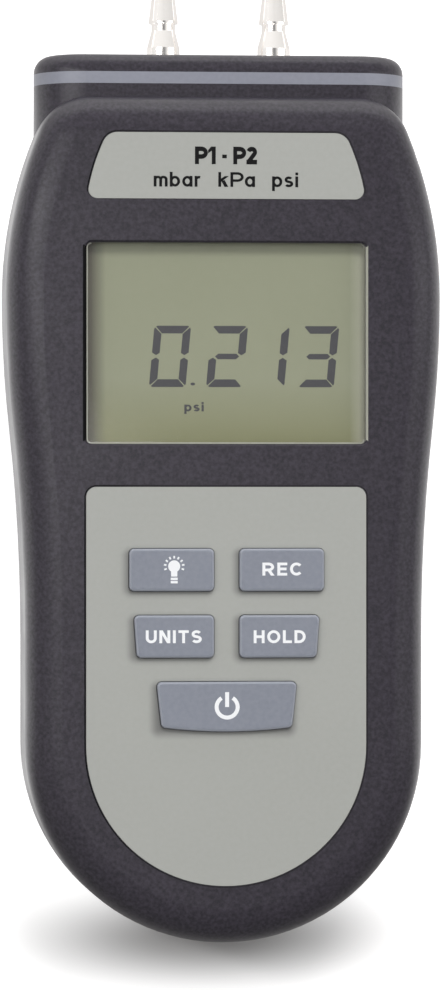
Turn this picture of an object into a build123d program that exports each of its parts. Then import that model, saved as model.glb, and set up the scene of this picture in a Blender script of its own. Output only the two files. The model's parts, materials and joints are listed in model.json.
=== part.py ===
from build123d import *
import os

os.makedirs("parts", exist_ok=True)

# Handheld digital differential manometer, lying on its back.
# X runs across the meter, Y runs from the keypad end to the pressure ports and
# Z points out of the display. The origin is on the flat back, in the middle.
# All sizes are in millimetres and all angles in degrees.

# Housing body
body_thick = 38.0           # from the back to the face
split_z = 19.5              # height of the joint between the two shells
wall = 2.2                  # wall of both shells
draft = 2.0                 # lean of the side walls
front_edge = 6.4            # rounding round the face
back_edge = 4.5             # rounding round the back
low_r = 35.8                # round end below the keypad
low_y = -44.0               # centre of the round end and of the keypad's end
waist_y = -25.0             # where the sides start to swell
wide_half = 39.15           # half of the width at its widest
wide_y = 35.5               # where the body is widest
swell_turn = 0.62           # share of the swell at which its curve turns over
shoulder_half = 30.3        # half of the width that the shoulder curve aims for
top_y = 71.5                # flat top of the body
shoulder_corner = 10.0      # corners of the shoulders
lip_tall = 1.0              # locating lip along the joint of the shells
lip_wide = 1.0
lip_gap = 0.12
seam_deep = 0.35            # shadow line along the joint of the shells
seam_tall = 0.25
boss_root = 1.1             # how far a boss runs into the wall it stands on

# Head with its ring and end cap
head_half = 33.4
head_thick = 19.0
head_corner = 9.0
neck_end = 73.75            # where the shells stop and the ring starts
ring_long = 2.1
cap_long = 3.3
cap_edge = 3.0              # rounding round the outer end of the cap
spigot_gap = 0.15           # clearance of the cap's spigot in the neck
spigot_long = 6.0           # reach of the spigot below the ring
spigot_wall = 1.5
rib_long = 1.2              # rib round the spigot, which the shells trap
rib_tall = 0.9
rib_up = 1.6                # from the spigot's inner end to the rib

# Pressure ports
port_pitch = 20.0
port_bore = 2.4
collar_d = 5.9
collar_long = 1.75
cone_long = 3.1             # from the collar down to the waist of the port
port_waist_d = 4.3
port_waist_long = 1.3
barb_d = 5.3
barb_land = 0.4
barb_long = 4.5
tip_d = 3.9
tip_long = 0.9
shank_d = 5.0
shank_gap = 0.1
tail_d = 3.6                # inner end, which carries the sensor's tube
tail_long = 6.0
nut_flats = 8.0
nut_long = 2.7
nut_spare = 0.8             # shank that stands out of the nut
seal_wire = 1.1             # thickness of the sealing ring
seal_squeeze = 0.05

# Nameplate, display window and keypad panel in the face
plate_thick = 0.5
plate_gap = 0.1
plate_low_y = 52.6
plate_high_y = 64.3
plate_low_half = 24.7
plate_mid_half = 23.75
plate_high_half = 21.0
plate_bow = 1.3             # the point of the side's arc below its mid-height
plate_low_corner = 1.6
plate_high_corner = 2.8
window_x = 49.5
window_y = 35.6
window_mid_y = 27.1
window_corner = 0.9
window_bevel = 0.35
bevel_angle = 45.0
window_sink = 1.5           # from the face down to the clear window
lens_thick = 1.5
lens_rim = 2.0              # rim of the window behind the face
lens_gap = 0.1
panel_half = 24.8
panel_high_y = 1.7
panel_corner = 1.8

# Keys
key_high_y = -9.2           # upper edge of the first row
key_pitch = 11.75           # from row to row
key_tall = 7.5
key_inner = 2.25            # half of the space between left and right keys
first_outer = 17.25
second_outer_high = 16.45
second_outer_low = 15.9
power_half_high = 12.45
power_half_low = 11.55
power_tall = 8.05
power_bulge = 0.75
key_corner = 0.9
key_proud = 1.2             # above the face
key_soft = 0.5              # rounding of the key's upper edges
key_gap = 0.15
key_travel = 1.0
flange_wide = 0.9
flange_thick = 1.0
flange_gap = 0.2
overlay_gap = 0.12          # round the keys in the panel

# Display
lcd_x = 52.6
lcd_y = 40.6
lcd_thick = 2.2
lcd_gap = 0.3               # below the clear window
frame_wall = 1.4
frame_gap = 0.2
frame_corner = 0.45
backlight_x = 50.0
backlight_y = 34.0
strip_wide = 2.4
strip_x = 46.0

# Circuit board
board_drop = 8.5            # from the face down to the board
board_thick = 1.6
board_side_gap = 1.1        # from the board to the sides of the housing
board_low_y = -52.0
board_high_y = 55.5
board_high_corner = 3.0
board_low_corner = 12.0
mat_thick = 1.2
mat_margin = 3.0            # silicone mat round the outermost keys
dome_base_r = 3.2
dome_top_r = 2.2
dome_clear = 0.3            # between a pressed key and its dome

# Pressure sensor and its tubes
sensor_low_y = 33.0
sensor_base = (26.0, 18.0)
sensor_head = (20.0, 14.0)
sensor_half_tall = 4.0      # head of the sensor above and below its nipples
nipple_pitch = 10.0
nipple_d = 3.6
nipple_bore = 1.8
nipple_long = 4.8
nipple_deep = 3.5           # bore beyond the nipple, into the sensor
tube_wall = 1.0
tube_seat = 0.5             # tube end to the shoulder behind it
tube_bend = 7.0
tube_turn_y = (63.0, 56.8)  # the two corners of the tube's route

# Small parts on the board
buzzer_r = 6.0
buzzer_tall = 4.2
buzzer_hole_r = 1.0
buzzer_place = (22.0, 14.0)
chip_sizes = [(12.0, 12.0, 1.4), (8.0, 5.0, 1.5), (5.0, 4.0, 1.3), (3.2, 8.0, 2.0)]
chip_places = [(-4.0, 14.0), (-20.0, 18.0), (-22.0, 4.0), (8.0, 2.0)]

# Battery and its bay
battery_x = 26.5
battery_y = 48.5
battery_z = 17.5
battery_corner = 2.0
bay_side_gap = 0.5
bay_low_y = -69.5
bay_high_y = -14.0
bay_wall = 2.2
bay_roof = 1.5
bay_roof_gap = 0.3
stud_r = (2.9, 3.6)
stud_tall = 2.6
stud_pitch = 12.7
snap_x = 25.0
snap_z = 12.4
snap_thick = 4.8
snap_gap = 0.2
stud_gap = 0.1
lead_d = 1.4
lead_pitch = 3.4
lead_up = 4.0               # lead above the middle of the snap
lead_rise_y = -6.5          # where the leads turn up to the board
lead_bend = 4.0
lead_slot_past = 0.5        # how far the slot of the leads runs past the bay's wall
pad_thick = 1.4
pad_x = 22.0
pad_y = 40.0

# Battery door
door_thick = 2.0
door_lap = 1.2              # how far the door laps over the bay's walls
door_gap = 0.2
grip_places = (-16.0, -18.0, -20.0, -22.0)  # thumb grooves across the door
grip_long = 14.0
grip_wide = 0.9
grip_deep = 0.45
door_hole_gap = 0.1
door_corner = 4.0
door_screw_y = -9.0
door_tongue = 3.8           # door beyond the middle of its screw
tab_wide = 5.0
tab_thick = 1.2
tab_pitch = 16.0
tab_reach = 1.3             # tab under the shell's edge
tab_gap = 0.15
door_screw_d = 2.5
door_screw_long = 8.0
door_head_d = 5.0
door_boss_r = 3.5
door_boss_z = 12.0

# Bare label let into the back
label_x = 44.0
label_y = 26.0
label_mid_y = 29.0
label_corner = 2.0
label_thick = 0.3
label_gap = 0.15
label_sink = 0.1            # from the back to the label

# Housing screws
case_screw_d = 2.6
case_head_d = 5.4
case_head_tall = 2.2
case_seat_z = 10.0          # seat of the screw heads above the back
case_grip = 17.0            # screw below its head
case_boss_r = 3.9
case_bore_gap = 0.3
pilot_gap = 0.05
high_screw = (26.0, 60.0)
low_screw_in = 9.3          # from the outside of the round end
low_screw_angle = 40.0
counterbore_gap = 0.3
bore_spare = 1.5            # pilot hole beyond the end of its screw
screw_head_round = 0.33     # rounding of a screw head, as a share of its height
cross_long = 0.56           # cross recess, as shares of the head's diameter
cross_wide = 0.14
cross_deep = 0.22

# Board screws
board_screw_d = 2.0
board_head_d = 3.8
board_head_tall = 1.4
board_screw_long = 6.0
board_bore_spare = 0.75
board_hole_gap = 0.15
board_boss_r = 2.5
board_screw_high = (4.0, 52.4)  # from the board's side, and its place along the meter
board_screw_low = (6.5, -44.5)

# Heights and places that follow from the sizes above
face_inner_z = body_thick - wall
board_top_z = body_thick - board_drop
board_half = low_r - wall - board_side_gap
lens_top_z = body_thick - window_sink
lens_low_z = lens_top_z - lens_thick
lcd_top_z = lens_low_z - lcd_gap
lcd_low_z = lcd_top_z - lcd_thick
board_low_z = board_top_z - board_thick
flange_top_z = face_inner_z - flange_gap
flange_low_z = flange_top_z - flange_thick
dome_top_z = flange_low_z - key_travel - dome_clear
cap_low_y = neck_end + ring_long
cap_high_y = cap_low_y + cap_long
collar_y = cap_high_y + collar_long
shank_low_y = cap_low_y - nut_long - nut_spare
sensor_y = sensor_low_y + sensor_base[1] / 2
sensor_head_y = sensor_y + sensor_head[1] / 2
head_middle_z = split_z
battery_low_z = door_thick + pad_thick + pilot_gap
bay_roof_z = battery_low_z + battery_z + bay_roof_gap
bay_half = battery_x / 2 + bay_side_gap
bay_mid_y = (bay_low_y + bay_high_y) / 2
bay_long = bay_high_y - bay_low_y
battery_mid_z = battery_low_z + battery_z / 2
battery_low_y = bay_low_y + bay_side_gap
battery_high_y = battery_low_y + battery_y
low_screw = Vector(low_r - low_screw_in, 0).rotate(Axis.Z, -low_screw_angle) + Vector(0, low_y)
case_screws = [
    (side * x, y)
    for side in (-1, 1)
    for x, y in (high_screw, (low_screw.X, low_screw.Y))
]
board_screws = [
    (side * (board_half - inward), y)
    for side in (-1, 1)
    for inward, y in (board_screw_high, board_screw_low)
]


def across(y):
    """Plane across the meter at a place along its length, with X and Z as its axes."""
    return Plane.XZ.offset(-y)


# Plan of the body: a round lower end, swollen sides, square shoulders
def body_plan(level, inset=0.0):
    """Draw the outline of the body at a height, smaller by the inset."""
    turn_x = low_r + swell_turn * (wide_half - low_r)
    turn_y = waist_y + swell_turn * (wide_y - waist_y)
    with BuildSketch(Plane.XY.offset(level)) as plan:
        with BuildLine():
            side = Line((low_r, low_y), (low_r, waist_y))
            lower = TangentArc(side @ 1, (turn_x, turn_y), tangent=(0, 1))
            upper = TangentArc(lower @ 1, (wide_half, wide_y), tangent=lower % 1)
            shoulder = TangentArc(upper @ 1, (shoulder_half, top_y), tangent=(0, 1))
            mirror(about=Plane.YZ)
            Line(shoulder @ 1, (-shoulder_half, top_y))
            CenterArc((0, low_y), low_r, 180, 180)
        make_face()
        fillet(plan.vertices().group_by(Axis.Y)[-1], radius=shoulder_corner)
        if inset:
            offset(amount=-inset)
    return plan.sketch


def head_section(y, inset=0.0):
    """Draw the cross-section of the head at a place along its length."""
    with BuildSketch(across(y)) as section:
        with Locations((0, head_middle_z)):
            RectangleRounded(
                2 * (head_half - inset), head_thick - 2 * inset, head_corner - inset
            )
    return section.sketch


# The whole housing in one, hollow and open at the neck, to be parted into two shells
neck_start = top_y - shoulder_corner - wall
with BuildPart() as outer:
    extrude(body_plan(split_z), amount=body_thick - split_z, taper=draft)
    extrude(body_plan(split_z), amount=-split_z, taper=draft)
    fillet(outer.faces().sort_by(Axis.Z)[-1].edges(), radius=front_edge)
    fillet(outer.faces().sort_by(Axis.Z)[0].edges(), radius=back_edge)
    extrude(head_section(neck_start), amount=neck_start - neck_end)

with BuildPart() as cavity:
    extrude(body_plan(split_z, wall), amount=face_inner_z - split_z, taper=draft)
    extrude(body_plan(split_z, wall), amount=wall - split_z, taper=draft)
    fillet(cavity.faces().sort_by(Axis.Z)[-1].edges(), radius=front_edge - wall)
    fillet(cavity.faces().sort_by(Axis.Z)[0].edges(), radius=back_edge - wall)
    extrude(head_section(neck_start, wall), amount=neck_start - neck_end)


def joint_plan(inset):
    """Draw the outline of both shells where they meet, up to the end of the neck."""
    with BuildSketch(Plane.XY.offset(split_z)) as plan:
        add(body_plan(split_z, inset))
        with Locations((0, neck_start)):
            Rectangle(
                2 * (head_half - inset), neck_end - neck_start, align=(Align.CENTER, Align.MIN)
            )
    return plan.sketch


# Groove inside the neck that traps the rib of the end cap
spigot_inset = wall + spigot_gap
rib_low_y = neck_end - spigot_long + rib_up
with BuildPart() as rib_groove:
    extrude(
        head_section(rib_low_y - spigot_gap, wall - rib_tall),
        amount=-(rib_long + 2 * spigot_gap),
    )


# Outlines of the parts let into the face
def plate_plan(level, grow=0.0):
    """Draw the nameplate, whose sides lean in on a curve."""
    with BuildSketch(Plane.XY.offset(level)) as plan:
        with BuildLine():
            middle = (plate_mid_half, (plate_low_y + plate_high_y) / 2 - plate_bow)
            side = ThreePointArc(
                (plate_low_half, plate_low_y), middle, (plate_high_half, plate_high_y)
            )
            mirror(about=Plane.YZ)
            Line(side @ 0, (-plate_low_half, plate_low_y))
            Line(side @ 1, (-plate_high_half, plate_high_y))
        make_face()
        fillet(plan.vertices().group_by(Axis.Y)[0], radius=plate_low_corner)
        fillet(plan.vertices().group_by(Axis.Y)[-1], radius=plate_high_corner)
        if grow:
            offset(amount=grow)
    return plan.sketch


def window_plan(level, rim=0.0):
    """Draw the display window with a rim of the given width round it."""
    with BuildSketch(Plane.XY.offset(level)) as plan:
        with Locations((0, window_mid_y)):
            RectangleRounded(window_x + 2 * rim, window_y + 2 * rim, window_corner + rim)
    return plan.sketch


def panel_plan(level, grow=0.0):
    """Draw the keypad panel, square at the top and round at the lower end."""
    with BuildSketch(Plane.XY.offset(level)) as plan:
        with BuildLine():
            top = Line((panel_half, panel_high_y), (-panel_half, panel_high_y))
            left = Line(top @ 1, (-panel_half, low_y))
            CenterArc((0, low_y), panel_half, 180, 180)
            Line((panel_half, low_y), top @ 0)
        make_face()
        fillet(plan.vertices().group_by(Axis.Y)[-1], radius=panel_corner)
        if grow:
            offset(amount=grow)
    return plan.sketch


# Outlines of the five keys
def key_plan(name, level, grow=0.0):
    """Draw the outline of one key at a height."""
    row = {"light": 0, "rec": 0, "units": 1, "hold": 1, "power": 2}[name]
    side = {"light": -1, "rec": 1, "units": -1, "hold": 1, "power": 1}[name]
    high = key_high_y - row * key_pitch
    with BuildSketch(Plane.XY.offset(level)) as plan:
        with BuildLine():
            if name == "power":
                low = high - power_tall
                Polyline(
                    (power_half_low, low),
                    (power_half_high, high),
                    (-power_half_high, high),
                    (-power_half_low, low),
                )
                ThreePointArc(
                    (-power_half_low, low), (0, low - power_bulge), (power_half_low, low)
                )
            else:
                outer_high = (first_outer, second_outer_high)[row]
                outer_low = (first_outer, second_outer_low)[row]
                low = high - key_tall
                Polyline(
                    (side * key_inner, high),
                    (side * outer_high, high),
                    (side * outer_low, low),
                    (side * key_inner, low),
                    close=True,
                )
        make_face()
        fillet(plan.vertices(), radius=key_corner)
        if grow:
            offset(amount=grow)
    return plan.sketch


key_names = ("light", "rec", "units", "hold", "power")


def label_plan(level, grow=0.0):
    """Draw the bare label of the back."""
    with BuildSketch(Plane.XY.offset(level)) as plan:
        with Locations((0, label_mid_y)):
            RectangleRounded(label_x + 2 * grow, label_y + 2 * grow, label_corner + grow)
    return plan.sketch


def cut_cross(places, low_z, head_d):
    """Cut a cross recess up into screw heads, from their lower faces."""
    with Locations(*[(x, y, low_z + cross_deep * head_d / 2) for x, y in places]):
        for turn in (0, 90):
            Box(
                cross_long * head_d,
                cross_wide * head_d,
                cross_deep * head_d,
                rotation=(0, 0, turn),
                mode=Mode.SUBTRACT,
            )


# Front shell: face, side walls down to the joint, front half of the neck
with BuildPart() as front_shell:
    add(outer.part)
    add(cavity.part, mode=Mode.SUBTRACT)
    split(bisect_by=Plane.XY.offset(split_z), keep=Keep.TOP)
    extrude(joint_plan(wall - lip_wide - lip_gap), amount=lip_tall + lip_gap, mode=Mode.SUBTRACT)
    add(rib_groove.part, mode=Mode.SUBTRACT)
    with BuildSketch(Plane.XY.offset(split_z)):
        with Locations(*case_screws):
            Circle(case_boss_r)
    extrude(amount=face_inner_z + boss_root - split_z)
    with BuildSketch(Plane.XY.offset(split_z)):
        with Locations(*case_screws):
            Circle(case_screw_d / 2 + pilot_gap)
    extrude(amount=case_seat_z + case_grip + bore_spare - split_z, mode=Mode.SUBTRACT)
    with BuildSketch(Plane.XY.offset(board_top_z)):
        with Locations(*board_screws):
            Circle(board_boss_r)
    extrude(amount=face_inner_z + boss_root - board_top_z)
    with BuildSketch(Plane.XY.offset(board_top_z)):
        with Locations(*board_screws):
            Circle(board_screw_d / 2 + pilot_gap)
    extrude(amount=board_screw_long - board_thick + board_bore_spare, mode=Mode.SUBTRACT)
    extrude(window_plan(body_thick), amount=-wall, mode=Mode.SUBTRACT)
    extrude(
        window_plan(body_thick, window_bevel), amount=-window_bevel, taper=bevel_angle, mode=Mode.SUBTRACT
    )
    extrude(window_plan(lens_top_z, lens_rim + lens_gap), amount=-wall, mode=Mode.SUBTRACT)
    extrude(plate_plan(body_thick, plate_gap), amount=-plate_thick, mode=Mode.SUBTRACT)
    extrude(panel_plan(body_thick, plate_gap), amount=-plate_thick, mode=Mode.SUBTRACT)
    for name in key_names:
        extrude(key_plan(name, body_thick, key_gap), amount=-wall, mode=Mode.SUBTRACT)
front_shell.part.label = "front_shell"
export_step(front_shell.part, "parts/front_shell.step")


# Rear shell: flat back, battery bay, screw columns, rear half of the neck
door_low_y = bay_low_y - door_lap
door_high_y = door_screw_y + door_tongue


def door_plan(level, grow=0.0):
    """Draw the battery door, which runs on past the bay to its screw."""
    with BuildSketch(Plane.XY.offset(level)) as plan:
        with Locations((0, (door_low_y + door_high_y) / 2)):
            RectangleRounded(
                2 * (bay_half + door_lap + grow),
                door_high_y - door_low_y + 2 * grow,
                door_corner + grow,
            )
    return plan.sketch


def bay_plan(level, grow=0.0):
    """Draw the inside of the battery bay."""
    with BuildSketch(Plane.XY.offset(level)) as plan:
        with Locations((0, bay_mid_y)):
            Rectangle(2 * (bay_half + grow), bay_long + 2 * grow)
    return plan.sketch


tab_places = [(side * tab_pitch / 2, bay_low_y) for side in (-1, 1)]
lead_z = battery_mid_z + lead_up
with BuildPart() as rear_shell:
    add(outer.part)
    add(cavity.part, mode=Mode.SUBTRACT)
    split(bisect_by=Plane.XY.offset(split_z), keep=Keep.BOTTOM)
    with BuildSketch(Plane.XY.offset(split_z)):
        add(joint_plan(wall - lip_wide))
        add(joint_plan(wall), mode=Mode.SUBTRACT)
    extrude(amount=lip_tall)
    add(rib_groove.part, mode=Mode.SUBTRACT)
    extrude(bay_plan(boss_root, bay_wall), amount=bay_roof_z + bay_roof - boss_root)
    with BuildSketch(Plane.XY.offset(boss_root)):
        with Locations(*case_screws):
            Circle(case_boss_r)
    extrude(amount=split_z - boss_root)
    with BuildSketch(Plane.XY.offset(boss_root)):
        with Locations((0, door_screw_y)):
            Circle(door_boss_r)
    extrude(amount=door_boss_z - boss_root)
    extrude(bay_plan(0), amount=bay_roof_z, mode=Mode.SUBTRACT)
    extrude(door_plan(0, door_gap), amount=door_thick, mode=Mode.SUBTRACT)
    extrude(label_plan(0, label_gap), amount=label_sink + label_thick, mode=Mode.SUBTRACT)
    with BuildSketch(Plane.XY.offset(split_z)):
        add(joint_plan(-seam_deep))
        add(joint_plan(seam_deep), mode=Mode.SUBTRACT)
    extrude(amount=-seam_tall, mode=Mode.SUBTRACT)
    with Locations(*[Location((x, y, 0)) for x, y in case_screws]):
        with Locations((0, 0, case_seat_z / 2)):
            Cylinder(case_head_d / 2 + counterbore_gap, case_seat_z, mode=Mode.SUBTRACT)
        with Locations((0, 0, split_z / 2)):
            Cylinder(case_screw_d / 2 + case_bore_gap, split_z, mode=Mode.SUBTRACT)
    with BuildSketch(Plane.XY.offset(door_thick)):
        with Locations((0, door_screw_y)):
            Circle(door_screw_d / 2 + pilot_gap)
    extrude(amount=door_screw_long, mode=Mode.SUBTRACT)
    with Locations(*[(x, y, door_thick + tab_thick / 2) for x, y in tab_places]):
        Box(
            tab_wide + 2 * tab_gap,
            2 * (door_lap + tab_reach + tab_gap),
            tab_thick + 2 * tab_gap,
            mode=Mode.SUBTRACT,
        )
    with Locations((0, bay_high_y + bay_wall / 2, lead_z)):
        Box(lead_pitch + 2 * lead_d, bay_wall + 2 * lead_slot_past, 2 * lead_d, mode=Mode.SUBTRACT)
rear_shell.part.label = "rear_shell"
export_step(rear_shell.part, "parts/rear_shell.step")

# Bare label, a little below the back so that nothing rubs on it
with BuildPart() as rear_label:
    extrude(label_plan(label_sink), amount=label_thick)
rear_label.part.label = "rear_label"
export_step(rear_label.part, "parts/rear_label.step")

# Grey ring between the neck and the end cap
with BuildPart() as accent_ring:
    extrude(head_section(neck_end), amount=-ring_long)
    extrude(head_section(neck_end, wall), amount=-ring_long, mode=Mode.SUBTRACT)
accent_ring.part.label = "accent_ring"
export_step(accent_ring.part, "parts/accent_ring.step")

# End cap: outer plate, hollow spigot that reaches into the neck, rib round it
port_places = {"port_left": -port_pitch / 2, "port_right": port_pitch / 2}
with BuildPart() as end_cap:
    extrude(head_section(cap_low_y), amount=-cap_long)
    fillet(end_cap.faces().sort_by(Axis.Y)[-1].edges(), radius=cap_edge)
    spigot_all = ring_long + spigot_long
    extrude(head_section(cap_low_y, spigot_inset), amount=spigot_all)
    extrude(head_section(rib_low_y, spigot_inset - rib_tall), amount=-rib_long)
    extrude(
        head_section(cap_low_y, spigot_inset + spigot_wall),
        amount=spigot_all,
        mode=Mode.SUBTRACT,
    )
    with BuildSketch(across(cap_high_y)):
        with Locations(*[(x, head_middle_z) for x in port_places.values()]):
            Circle(shank_d / 2 + shank_gap)
    extrude(amount=cap_long, mode=Mode.SUBTRACT)
    with BuildSketch(across(cap_low_y)):
        with Locations(*[(x, head_middle_z) for x in port_places.values()]):
            Circle(shank_d / 2 + seal_wire + seal_squeeze)
    extrude(amount=-(seal_wire - seal_squeeze), mode=Mode.SUBTRACT)
end_cap.part.label = "end_cap"
export_step(end_cap.part, "parts/end_cap.step")


def port_fitting(x):
    """Turn one port: barb and collar outside, shank and tube tail inside."""
    waist_low = collar_y + cone_long
    barb_low = waist_low + port_waist_long
    outline = [
        (port_bore / 2, shank_low_y - tail_long),
        (tail_d / 2, shank_low_y - tail_long),
        (tail_d / 2, shank_low_y),
        (shank_d / 2, shank_low_y),
        (shank_d / 2, cap_high_y),
        (collar_d / 2, cap_high_y),
        (collar_d / 2, collar_y),
        (port_waist_d / 2, waist_low),
        (port_waist_d / 2, barb_low),
        (barb_d / 2, barb_low),
        (barb_d / 2, barb_low + barb_land),
        (port_waist_d / 2, barb_low + barb_long),
        (tip_d / 2, barb_low + barb_long + tip_long),
        (port_bore / 2, barb_low + barb_long + tip_long),
    ]
    with BuildPart() as port:
        with BuildSketch(Plane.XY.offset(head_middle_z)):
            with BuildLine():
                Polyline([(x + r, y) for r, y in outline], close=True)
            make_face()
        revolve(axis=Axis((x, 0, head_middle_z), (0, 1, 0)))
    return port.part


# Two nickel-plated hose ports with their nuts and sealing rings
for name, x in port_places.items():
    port = port_fitting(x)
    port.label = name
    export_step(port, f"parts/{name}.step")

with BuildPart() as port_nuts:
    with BuildSketch(across(cap_low_y)):
        with Locations(*[(x, head_middle_z) for x in port_places.values()]):
            RegularPolygon(nut_flats / 2, 6, major_radius=False)
            Circle(shank_d / 2, mode=Mode.SUBTRACT)
    extrude(amount=nut_long)
port_nuts.part.label = "port_nuts"
export_step(port_nuts.part, "parts/port_nuts.step")

with BuildPart() as port_seals:
    with Locations(
        *[
            Location((x, cap_low_y + seal_wire / 2, head_middle_z), (90, 0, 0))
            for x in port_places.values()
        ]
    ):
        Torus(shank_d / 2 + seal_wire / 2, seal_wire / 2 - seal_squeeze)
port_seals.part.label = "port_seals"
export_step(port_seals.part, "parts/port_seals.step")

# Nameplate and keypad overlay, let into the face
with BuildPart() as nameplate:
    extrude(plate_plan(body_thick), amount=-plate_thick)
nameplate.part.label = "nameplate"
export_step(nameplate.part, "parts/nameplate.step")

with BuildPart() as keypad_overlay:
    extrude(panel_plan(body_thick), amount=-plate_thick)
    for name in key_names:
        extrude(key_plan(name, body_thick, overlay_gap), amount=-plate_thick, mode=Mode.SUBTRACT)
keypad_overlay.part.label = "keypad_overlay"
export_step(keypad_overlay.part, "parts/keypad_overlay.step")

# Clear window behind the face, display glass, its frame, backlight and contact strips
with BuildPart() as display_window:
    extrude(window_plan(lens_top_z, lens_rim), amount=-lens_thick)
display_window.part.label = "display_window"
export_step(display_window.part, "parts/display_window.step")

with BuildPart() as lcd_glass:
    with Locations((0, window_mid_y, lcd_low_z + lcd_thick / 2)):
        Box(lcd_x, lcd_y, lcd_thick)
lcd_glass.part.label = "lcd_glass"
export_step(lcd_glass.part, "parts/lcd_glass.step")

frame_tall = lens_low_z - pilot_gap - board_top_z
with BuildPart() as lcd_frame:
    with Locations((0, window_mid_y, board_top_z + frame_tall / 2)):
        Box(
            lcd_x + 2 * (frame_gap + frame_wall),
            lcd_y + 2 * (frame_gap + frame_wall),
            frame_tall,
        )
        Box(lcd_x + 2 * frame_gap, lcd_y + 2 * frame_gap, frame_tall, mode=Mode.SUBTRACT)
    fillet(lcd_frame.edges().filter_by(Axis.Z), radius=frame_corner)
lcd_frame.part.label = "lcd_frame"
export_step(lcd_frame.part, "parts/lcd_frame.step")

backlight_tall = lcd_low_z - board_top_z
with BuildPart() as backlight:
    with Locations((0, window_mid_y, board_top_z + backlight_tall / 2)):
        Box(backlight_x, backlight_y, backlight_tall)
    chamfer(backlight.faces().sort_by(Axis.Z)[-1].edges(), length=frame_gap)
backlight.part.label = "backlight"
export_step(backlight.part, "parts/backlight.step")

with BuildPart() as contact_strips:
    strip_off = (backlight_y + strip_wide) / 2 + frame_gap
    with Locations(
        *[
            (0, window_mid_y + side * strip_off, board_top_z + backlight_tall / 2)
            for side in (-1, 1)
        ]
    ):
        Box(strip_x, strip_wide, backlight_tall)
contact_strips.part.label = "contact_strips"
export_step(contact_strips.part, "parts/contact_strips.step")

# Circuit board with the small parts soldered under it
with BuildPart() as circuit_board:
    with BuildSketch(Plane.XY.offset(board_low_z)) as board:
        with Locations((0, (board_low_y + board_high_y) / 2)):
            Rectangle(2 * board_half, board_high_y - board_low_y)
        fillet(board.vertices().group_by(Axis.Y)[0], radius=board_low_corner)
        fillet(board.vertices().group_by(Axis.Y)[-1], radius=board_high_corner)
        with Locations(*board_screws):
            Circle(board_screw_d / 2 + board_hole_gap, mode=Mode.SUBTRACT)
    extrude(amount=board_thick)
circuit_board.part.label = "circuit_board"
export_step(circuit_board.part, "parts/circuit_board.step")

with BuildPart() as board_chips:
    for (long, wide, tall), (x, y) in zip(chip_sizes, chip_places):
        with Locations((x, y, board_low_z - tall / 2)):
            Box(long, wide, tall)
board_chips.part.label = "board_chips"
export_step(board_chips.part, "parts/board_chips.step")

with BuildPart() as buzzer:
    with Locations((*buzzer_place, board_low_z - buzzer_tall / 2)):
        Cylinder(buzzer_r, buzzer_tall)
        Cylinder(buzzer_hole_r, buzzer_tall, mode=Mode.SUBTRACT)
    fillet(buzzer.faces().sort_by(Axis.Z)[0].outer_wire().edges(), radius=key_soft)
buzzer.part.label = "buzzer"
export_step(buzzer.part, "parts/buzzer.step")

# Pressure sensor under the board, with a nipple for each port
nipple_places = [side * nipple_pitch / 2 for side in (-1, 1)]
with BuildPart() as pressure_sensor:
    sensor_high_z = head_middle_z + sensor_half_tall
    with Locations((0, sensor_y, board_low_z)):
        Box(
            *sensor_base,
            board_low_z - sensor_high_z,
            align=(Align.CENTER, Align.CENTER, Align.MAX),
        )
    with Locations((0, sensor_y, head_middle_z)):
        Box(*sensor_head, 2 * sensor_half_tall)
    with BuildSketch(across(sensor_head_y)):
        with Locations(*[(x, head_middle_z) for x in nipple_places]):
            Circle(nipple_d / 2)
    extrude(amount=-nipple_long)
    with BuildSketch(across(sensor_head_y + nipple_long)):
        with Locations(*[(x, head_middle_z) for x in nipple_places]):
            Circle(nipple_bore / 2)
    extrude(amount=nipple_long + nipple_deep, mode=Mode.SUBTRACT)
pressure_sensor.part.label = "pressure_sensor"
export_step(pressure_sensor.part, "parts/pressure_sensor.step")

# Silicone tubes from the ports to the sensor, each a double bend pushed on at both ends
for name, x in (("sensor_tube_left", -1), ("sensor_tube_right", 1)):
    route = [
        (x * port_pitch / 2, shank_low_y - tube_seat),
        (x * port_pitch / 2, tube_turn_y[0]),
        (x * nipple_pitch / 2, tube_turn_y[1]),
        (x * nipple_pitch / 2, sensor_head_y + tube_seat),
    ]
    with BuildPart() as tube:
        with BuildLine(Plane.XY.offset(head_middle_z)) as path:
            FilletPolyline(*route, radius=tube_bend)
        with BuildSketch(across(route[0][1])):
            with Locations((route[0][0], head_middle_z)):
                Circle(nipple_d / 2 + tube_wall)
                Circle(nipple_d / 2, mode=Mode.SUBTRACT)
        sweep(path=path.wires()[0])
    tube.part.label = name
    export_step(tube.part, f"parts/{name}.step")

# Silicone keypad mat on the board: a base with a dome under each key
mat_high_y = key_high_y + mat_margin
mat_low_y = key_high_y - 2 * key_pitch - power_tall - mat_margin
dome_low_z = board_top_z + mat_thick
with BuildPart() as keypad_mat:
    with BuildSketch(Plane.XY.offset(board_top_z)):
        with Locations((0, (mat_high_y + mat_low_y) / 2)):
            RectangleRounded(2 * (first_outer + mat_margin), mat_high_y - mat_low_y, mat_margin)
    extrude(amount=mat_thick)
    for name in key_names:
        middle = key_plan(name, dome_low_z).bounding_box().center()
        with Locations((middle.X, middle.Y, dome_low_z)):
            Cone(
                dome_base_r,
                dome_top_r,
                dome_top_z - dome_low_z,
                align=(Align.CENTER, Align.CENTER, Align.MIN),
            )
keypad_mat.part.label = "keypad_mat"
export_step(keypad_mat.part, "parts/keypad_mat.step")

# Five keys, each with a soft upper edge and a flange that stays behind the face
for name in key_names:
    with BuildPart() as key:
        extrude(key_plan(name, flange_low_z), amount=body_thick + key_proud - flange_low_z)
        fillet(key.faces().sort_by(Axis.Z)[-1].edges(), radius=key_soft)
        extrude(key_plan(name, flange_low_z, flange_wide), amount=flange_thick)
    key.part.label = f"key_{name}"
    export_step(key.part, f"parts/key_{name}.step")

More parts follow.
